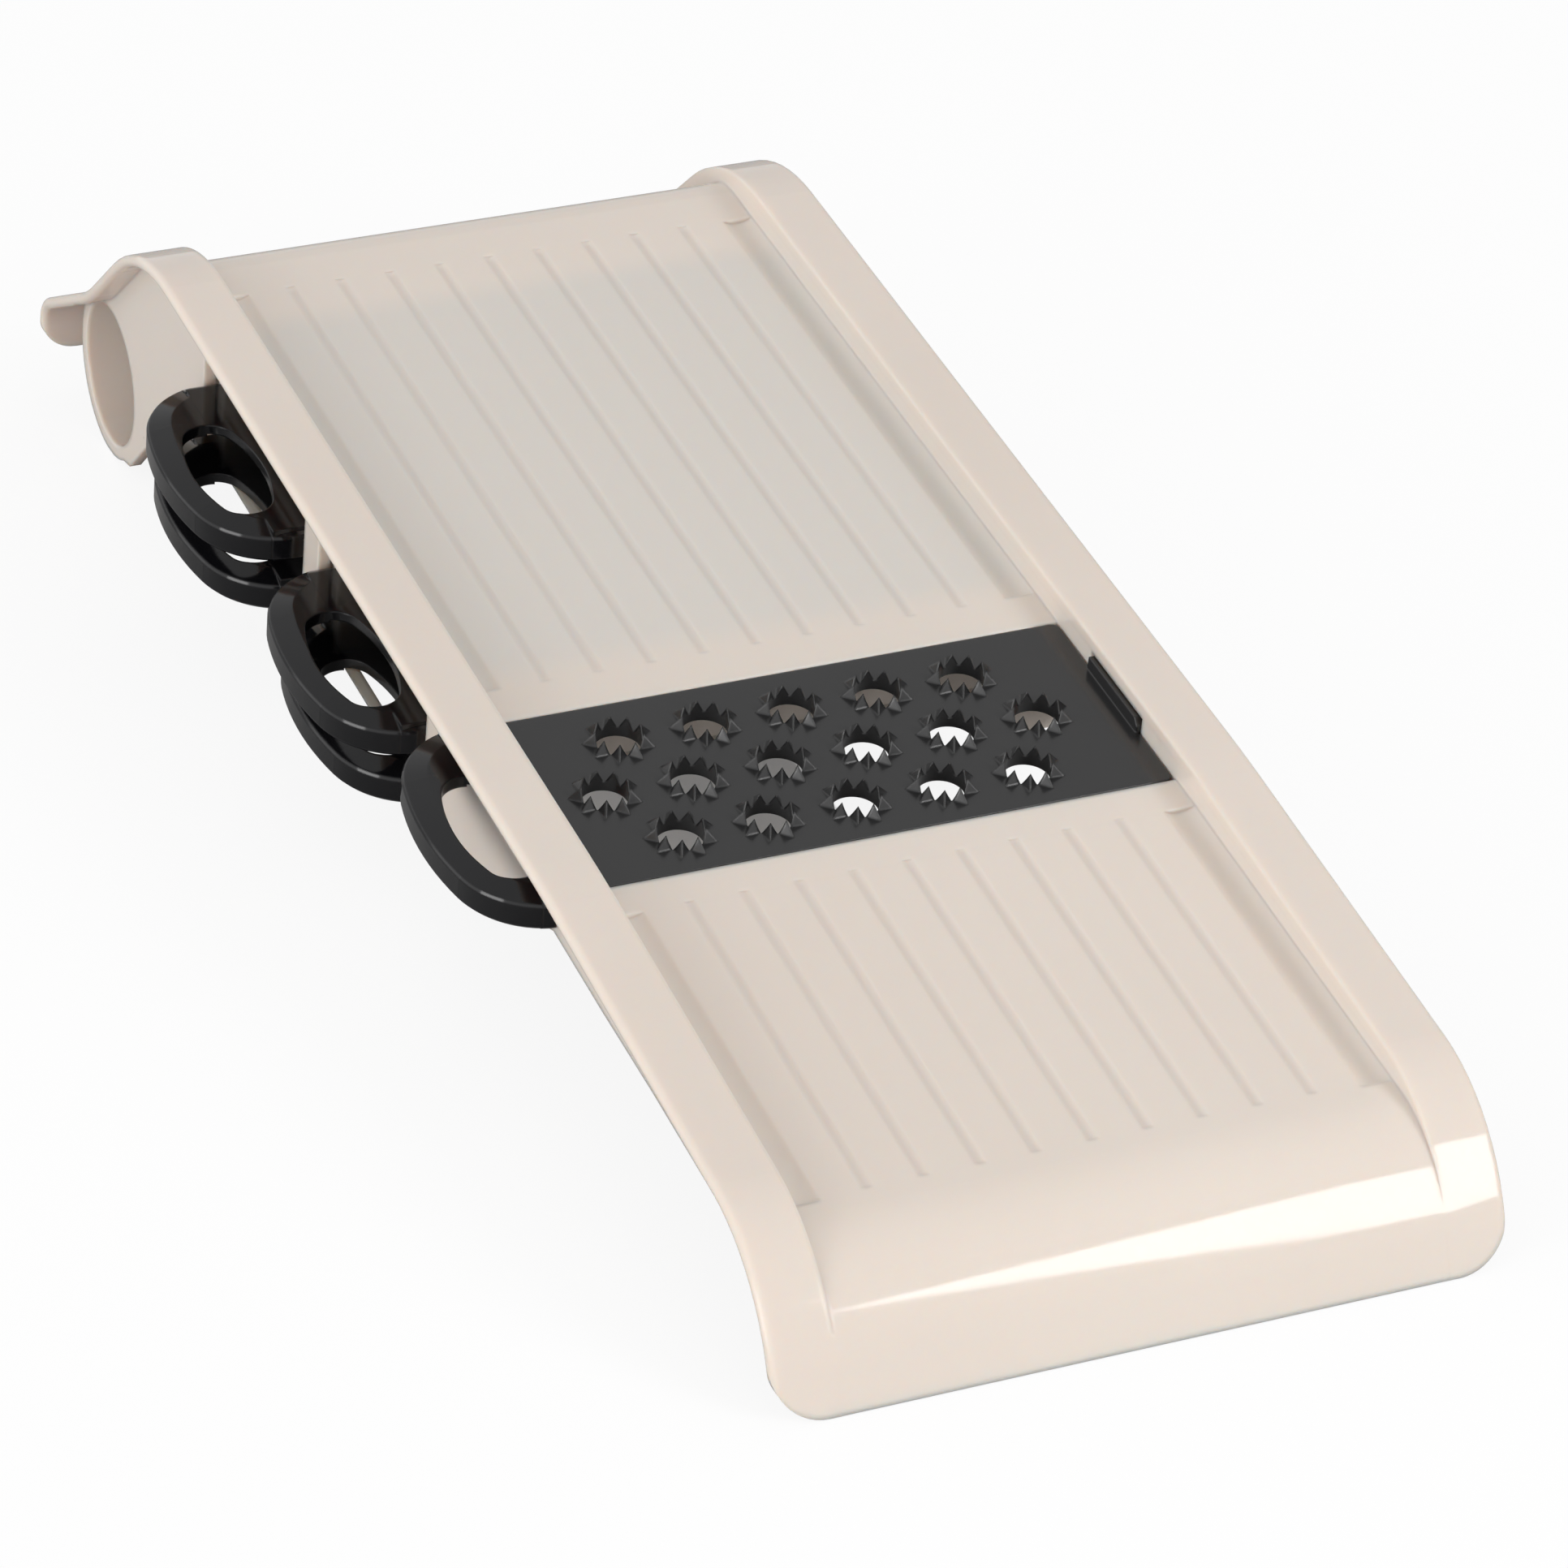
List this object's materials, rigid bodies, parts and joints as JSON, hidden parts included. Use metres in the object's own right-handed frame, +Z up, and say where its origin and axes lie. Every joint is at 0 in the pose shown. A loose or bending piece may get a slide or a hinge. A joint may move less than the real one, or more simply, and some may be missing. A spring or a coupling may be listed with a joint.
{
  "type": "mandoline slicer",
  "caption": "Flat kitchen mandoline with raised rails, tubular rear foot, toothed grater insert in use and cutting inserts stored under the deck.",
  "frame": {"origin": "on the table under the middle of the whole object, finger rings included", "axes": "+Z up; +Y from the front lip to the rear foot; +X to the right when facing +Y, away from the finger rings"},
  "size_m": [0.136, 0.353, 0.0573],
  "materials": {
    "deck_plastic": "glossy",
    "insert_plastic": "satin",
    "blade_steel": "brushed"
  },
  "bodies": {
    "body": {"body": "deck_plastic"},
    "grater": {"grater_insert": "insert_plastic"},
    "thin_slicer": {"thin_slicer_frame": "insert_plastic", "thin_blade": "blade_steel"},
    "thick_slicer": {"thick_slicer_frame": "insert_plastic", "thick_blade": "blade_steel"},
    "fine_julienne": {"fine_julienne_frame": "insert_plastic", "fine_blade": "blade_steel", "fine_comb": "blade_steel"},
    "coarse_julienne": {"coarse_julienne_frame": "insert_plastic", "coarse_blade": "blade_steel", "coarse_comb": "blade_steel"}
  },
  "joints": [
    {"name": "grater_slide", "type": "slide", "parent": "body", "child": "grater", "axis": [-1, 0, 0], "range_m": [0, 0.12]},
    {"name": "thin_slicer_slide", "type": "slide", "parent": "body", "child": "thin_slicer", "axis": [-1, 0, 0], "range_m": [0, 0.12]},
    {"name": "thick_slicer_slide", "type": "slide", "parent": "body", "child": "thick_slicer", "axis": [-1, 0, 0], "range_m": [0, 0.12]},
    {"name": "fine_julienne_slide", "type": "slide", "parent": "body", "child": "fine_julienne", "axis": [-1, 0, 0], "range_m": [0, 0.12]},
    {"name": "coarse_julienne_slide", "type": "slide", "parent": "body", "child": "coarse_julienne", "axis": [-1, 0, 0], "range_m": [0, 0.12]}
  ]
}
